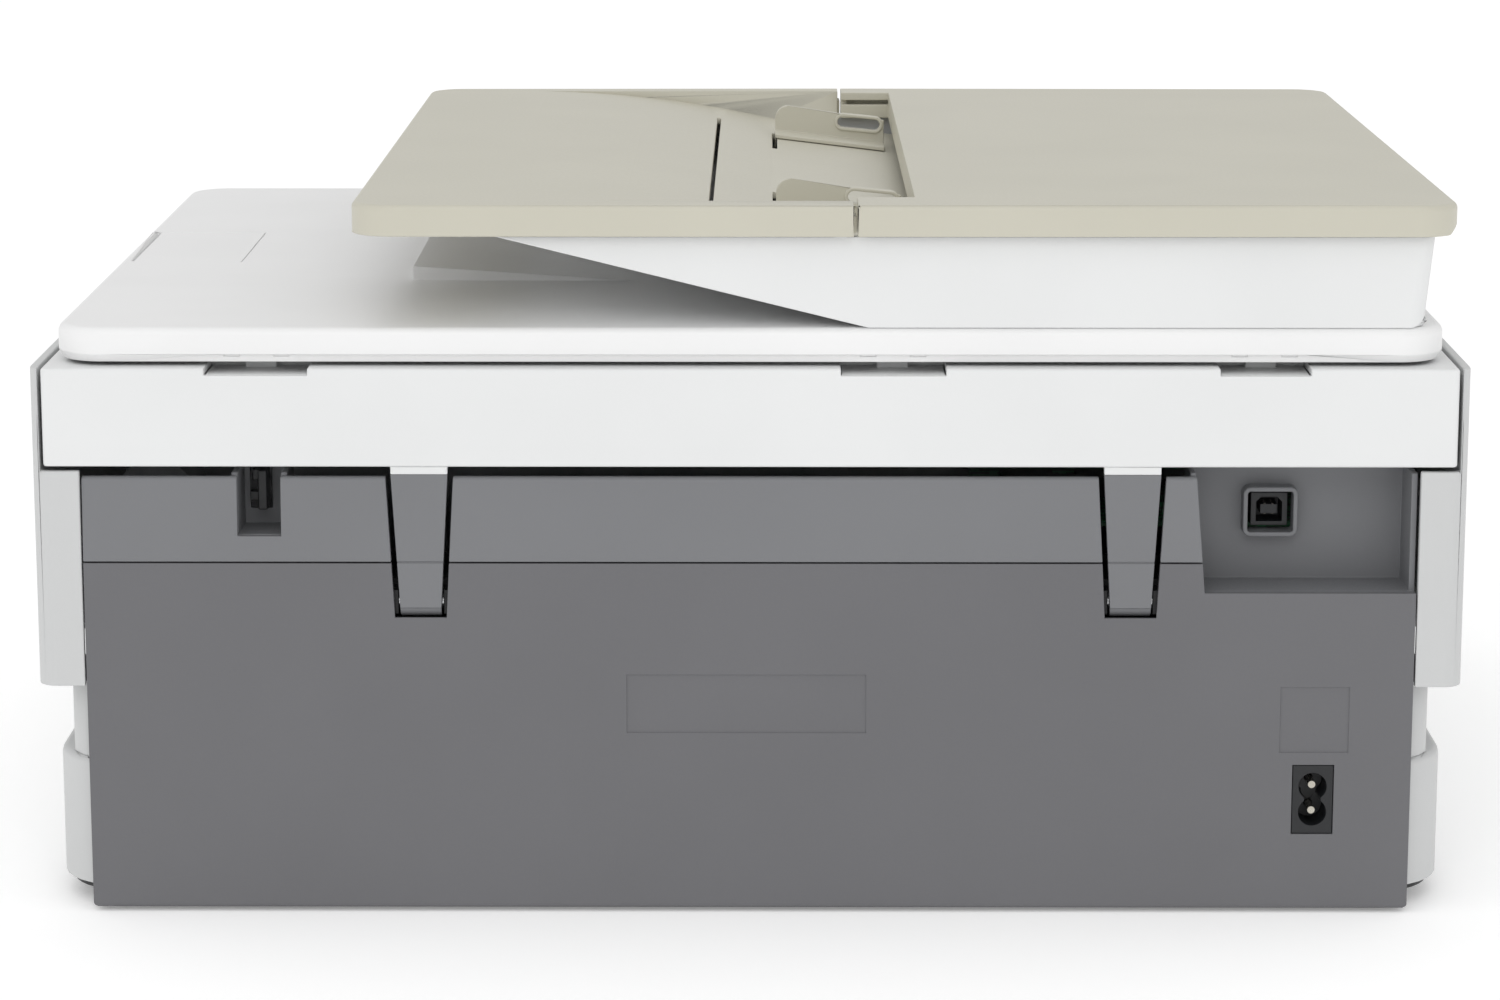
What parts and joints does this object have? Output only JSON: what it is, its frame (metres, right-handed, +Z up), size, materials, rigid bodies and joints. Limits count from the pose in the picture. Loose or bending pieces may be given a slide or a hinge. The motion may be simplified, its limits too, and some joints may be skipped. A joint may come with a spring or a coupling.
{
  "type": "inkjet printer",
  "caption": "All-in-one inkjet printer: flatbed scanner lid, document feeder tray, lift-up scanner unit, print engine, paper tray and grey rear cover.",
  "frame": {"origin": "on the table surface, under the middle of the machine's bounding box", "axes": "+Z up, front of the machine towards -Y, rear cover towards +Y, +X to the right as seen from the front"},
  "size_m": [0.462, 0.383, 0.2332],
  "materials": {
    "white_housing": "fine moulded texture",
    "grey_cover": "fine moulded texture",
    "beige_feeder": "fine moulded texture",
    "black_plastic": "moulded",
    "rubber_parts": "ground",
    "steel_parts": "drawn and plated",
    "natural_acetal": "moulded",
    "platen_glass": "polished",
    "white_foam": "foam with a smooth film",
    "circuit_board": "solder mask",
    "screen": "polished"
  },
  "bodies": {
    "base": {"base_plate": "black_plastic", "rubber_feet": "rubber_parts", "lower_housing": "white_housing", "rear_cover": "grey_cover", "rear_upper_cover": "grey_cover", "side_panel_left": "white_housing", "side_panel_right": "white_housing", "front_fascia": "white_housing", "port_pockets": "grey_cover", "usb_port": "black_plastic", "power_inlet": "black_plastic", "inlet_pins": "steel_parts", "print_frame": "black_plastic", "arm_brackets": "black_plastic", "arm_pins": "steel_parts", "carriage_rail": "steel_parts", "guide_rod": "steel_parts", "carriage_belt": "rubber_parts", "carriage_motor": "steel_parts", "platen": "black_plastic", "service_station": "black_plastic", "power_supply": "black_plastic", "main_board": "circuit_board", "case_screws": "steel_parts"},
    "motor_pulley": {"motor_pulley": "black_plastic"},
    "idler_pulley": {"idler_pulley": "black_plastic"},
    "carriage": {"print_carriage": "black_plastic", "cartridge_black": "black_plastic", "cartridge_color": "black_plastic"},
    "feed_roller": {"feed_shaft": "steel_parts", "feed_rollers": "rubber_parts", "feed_gear": "natural_acetal"},
    "transfer_gear": {"transfer_gear": "natural_acetal"},
    "eject_roller": {"eject_shaft": "natural_acetal", "eject_rollers": "rubber_parts"},
    "pick_roller": {"pick_roller": "rubber_parts"},
    "scanner": {"scanner_bed": "white_housing", "scanner_glass": "platen_glass", "scan_rod": "steel_parts", "lift_arms": "grey_cover", "hinge_posts": "white_housing"},
    "scan_bar": {"scan_bar": "black_plastic"},
    "lid": {"scanner_lid": "white_housing", "lid_pad": "white_foam", "adf_body": "white_housing"},
    "adf_cover": {"adf_cover": "beige_feeder"},
    "adf_pick_roller": {"adf_pick_roller": "rubber_parts"},
    "adf_feed_roller": {"adf_feed_roller": "rubber_parts"},
    "adf_tray": {"adf_tray": "beige_feeder"},
    "rear_guide": {"rear_guide": "beige_feeder"},
    "front_guide": {"front_guide": "beige_feeder"},
    "document_stop": {"document_stop": "white_housing"},
    "control_panel": {"control_panel": "black_plastic", "touchscreen": "screen"},
    "power_button": {"power_button": "natural_acetal"},
    "paper_tray": {"paper_tray": "beige_feeder"},
    "left_tray_guide": {"left_tray_guide": "black_plastic"},
    "right_tray_guide": {"right_tray_guide": "black_plastic"},
    "output_tray": {"output_tray": "beige_feeder"}
  },
  "joints": [
    {"name": "scanner_lift", "type": "hinge", "parent": "base", "child": "scanner", "pos_m": [0, 0.186, 0.1035], "axis": [-1, 0, 0], "range_deg": [0, 42]},
    {"name": "lid_hinge", "type": "hinge", "parent": "scanner", "child": "lid", "pos_m": [0, 0.1825, 0.187], "axis": [-1, 0, 0], "range_deg": [0, 80]},
    {"name": "adf_cover_hinge", "type": "hinge", "parent": "lid", "child": "adf_cover", "pos_m": [-0.2229, 0, 0.2266], "axis": [0, -1, 0], "range_deg": [0, 75]},
    {"name": "adf_tray_hinge", "type": "hinge", "parent": "lid", "child": "adf_tray", "pos_m": [-0.029, 0, 0.228], "axis": [0, -1, 0], "range_deg": [0, 15]},
    {"name": "document_stop_hinge", "type": "hinge", "parent": "lid", "child": "document_stop", "pos_m": [0.2162, 0.0035, 0.1915], "axis": [0, 1, 0], "range_deg": [0, 95]},
    {"name": "rear_guide_slide", "type": "slide", "parent": "adf_tray", "child": "rear_guide", "axis": [0, -1, 0], "range_m": [0, 0.04]},
    {"name": "front_guide_slide", "type": "slide", "parent": "adf_tray", "child": "front_guide", "axis": [0, 1, 0], "range_m": [0, 0.04]},
    {"name": "adf_feed_spin", "type": "hinge", "parent": "lid", "child": "adf_feed_roller", "pos_m": [-0.1501, 0, 0.208], "axis": [0, 1, 0], "continuous": true},
    {"name": "adf_pick_spin", "type": "hinge", "parent": "adf_cover", "child": "adf_pick_roller", "pos_m": [-0.075, 0.0125, 0.2216], "axis": [0, 1, 0], "continuous": true},
    {"name": "scan_bar_slide", "type": "slide", "parent": "scanner", "child": "scan_bar", "axis": [1, 0, 0], "range_m": [0, 0.318]},
    {"name": "carriage_slide", "type": "slide", "parent": "base", "child": "carriage", "axis": [-1, 0, 0], "range_m": [0, 0.304]},
    {"name": "motor_pulley_spin", "type": "hinge", "parent": "base", "child": "motor_pulley", "pos_m": [0.205, 0.057, 0.118], "axis": [0, 1, 0], "range_deg": [0, 2600]},
    {"name": "idler_pulley_spin", "type": "hinge", "parent": "base", "child": "idler_pulley", "pos_m": [-0.205, 0.057, 0.118], "axis": [0, 1, 0], "range_deg": [0, 2600]},
    {"name": "feed_spin", "type": "hinge", "parent": "base", "child": "feed_roller", "pos_m": [0, 0.03, 0.064], "axis": [1, 0, 0], "continuous": true},
    {"name": "transfer_spin", "type": "hinge", "parent": "base", "child": "transfer_gear", "pos_m": [-0.163, -0.001, 0.065], "axis": [1, 0, 0], "continuous": true},
    {"name": "eject_spin", "type": "hinge", "parent": "base", "child": "eject_roller", "pos_m": [0, -0.032, 0.066], "axis": [1, 0, 0], "continuous": true},
    {"name": "pick_spin", "type": "hinge", "parent": "base", "child": "pick_roller", "pos_m": [0, 0.086, 0.0482], "axis": [1, 0, 0], "continuous": true},
    {"name": "control_panel_tilt", "type": "hinge", "parent": "base", "child": "control_panel", "pos_m": [-0.15, -0.1875, 0.1578], "axis": [-1, 0, 0], "range_deg": [0, 40]},
    {"name": "power_button_press", "type": "slide", "parent": "base", "child": "power_button", "axis": [0, 1, 0], "range_m": [0, 0.0012], "stiffness_N_per_m": 600},
    {"name": "paper_tray_slide", "type": "slide", "parent": "base", "child": "paper_tray", "axis": [0, -1, 0], "range_m": [0, 0.18]},
    {"name": "left_tray_guide_slide", "type": "slide", "parent": "paper_tray", "child": "left_tray_guide", "axis": [1, 0, 0], "range_m": [0, 0.05]},
    {"name": "right_tray_guide_slide", "type": "slide", "parent": "paper_tray", "child": "right_tray_guide", "axis": [-1, 0, 0], "range_m": [0, 0.05]},
    {"name": "output_tray_slide", "type": "slide", "parent": "base", "child": "output_tray", "axis": [0, -1, 0], "range_m": [0, 0.12]}
  ],
  "couplings": [
    {"joint": "front_guide_slide", "follows": "rear_guide_slide", "ratio": 1},
    {"joint": "motor_pulley_spin", "follows": "carriage_slide", "rad_per_m": 144.93},
    {"joint": "idler_pulley_spin", "follows": "carriage_slide", "rad_per_m": 144.93},
    {"joint": "transfer_spin", "follows": "feed_spin", "ratio": -1.8182},
    {"joint": "eject_spin", "follows": "feed_spin", "ratio": 1},
    {"joint": "right_tray_guide_slide", "follows": "left_tray_guide_slide", "ratio": 1}
  ]
}
